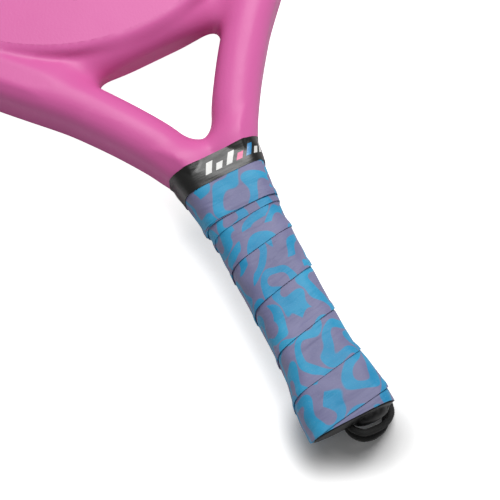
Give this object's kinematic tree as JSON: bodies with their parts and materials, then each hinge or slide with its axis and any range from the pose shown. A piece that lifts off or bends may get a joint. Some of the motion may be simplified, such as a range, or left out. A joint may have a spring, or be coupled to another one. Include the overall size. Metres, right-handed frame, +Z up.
{
  "type": "padel racket",
  "caption": "Padel racket with a round perforated foam-cored head, open triangular throat, wrapped handle and knotted wrist cord.",
  "frame": {"origin": "on the surface the racket lies on, under the middle of its bounding box without the cord", "axes": "+Y along the racket from the butt to the head, +Z up through the faces, +X across"},
  "size_m": [0.2588, 0.4605, 0.038],
  "materials": {
    "paint": "satin pink paint over the composite tube",
    "laminate": "satin pink painted fibre skin",
    "foam": "dark closed-cell foam",
    "pallet": "moulded polyurethane",
    "cushion": "perforated polyurethane base grip",
    "grip_film": "matt stretch film, mauve printed with blue loops",
    "tape": "glossy black adhesive tape",
    "cap": "polished black moulding",
    "cord": "black braided cord"
  },
  "bodies": {
    "root": {"frame_tube": "paint", "throat_bridge": "paint", "throat_wedge": "paint", "foam_core": "foam", "face_skin_front": "laminate", "face_skin_back": "laminate", "handle_core": "foam", "handle_pallet_front": "pallet", "handle_pallet_back": "pallet", "base_grip": "cushion", "overgrip": "grip_film", "finishing_tape": "tape", "butt_cap": "cap", "cord_knot": "cord", "wrist_cord": "cord"}
  },
  "joints": []
}
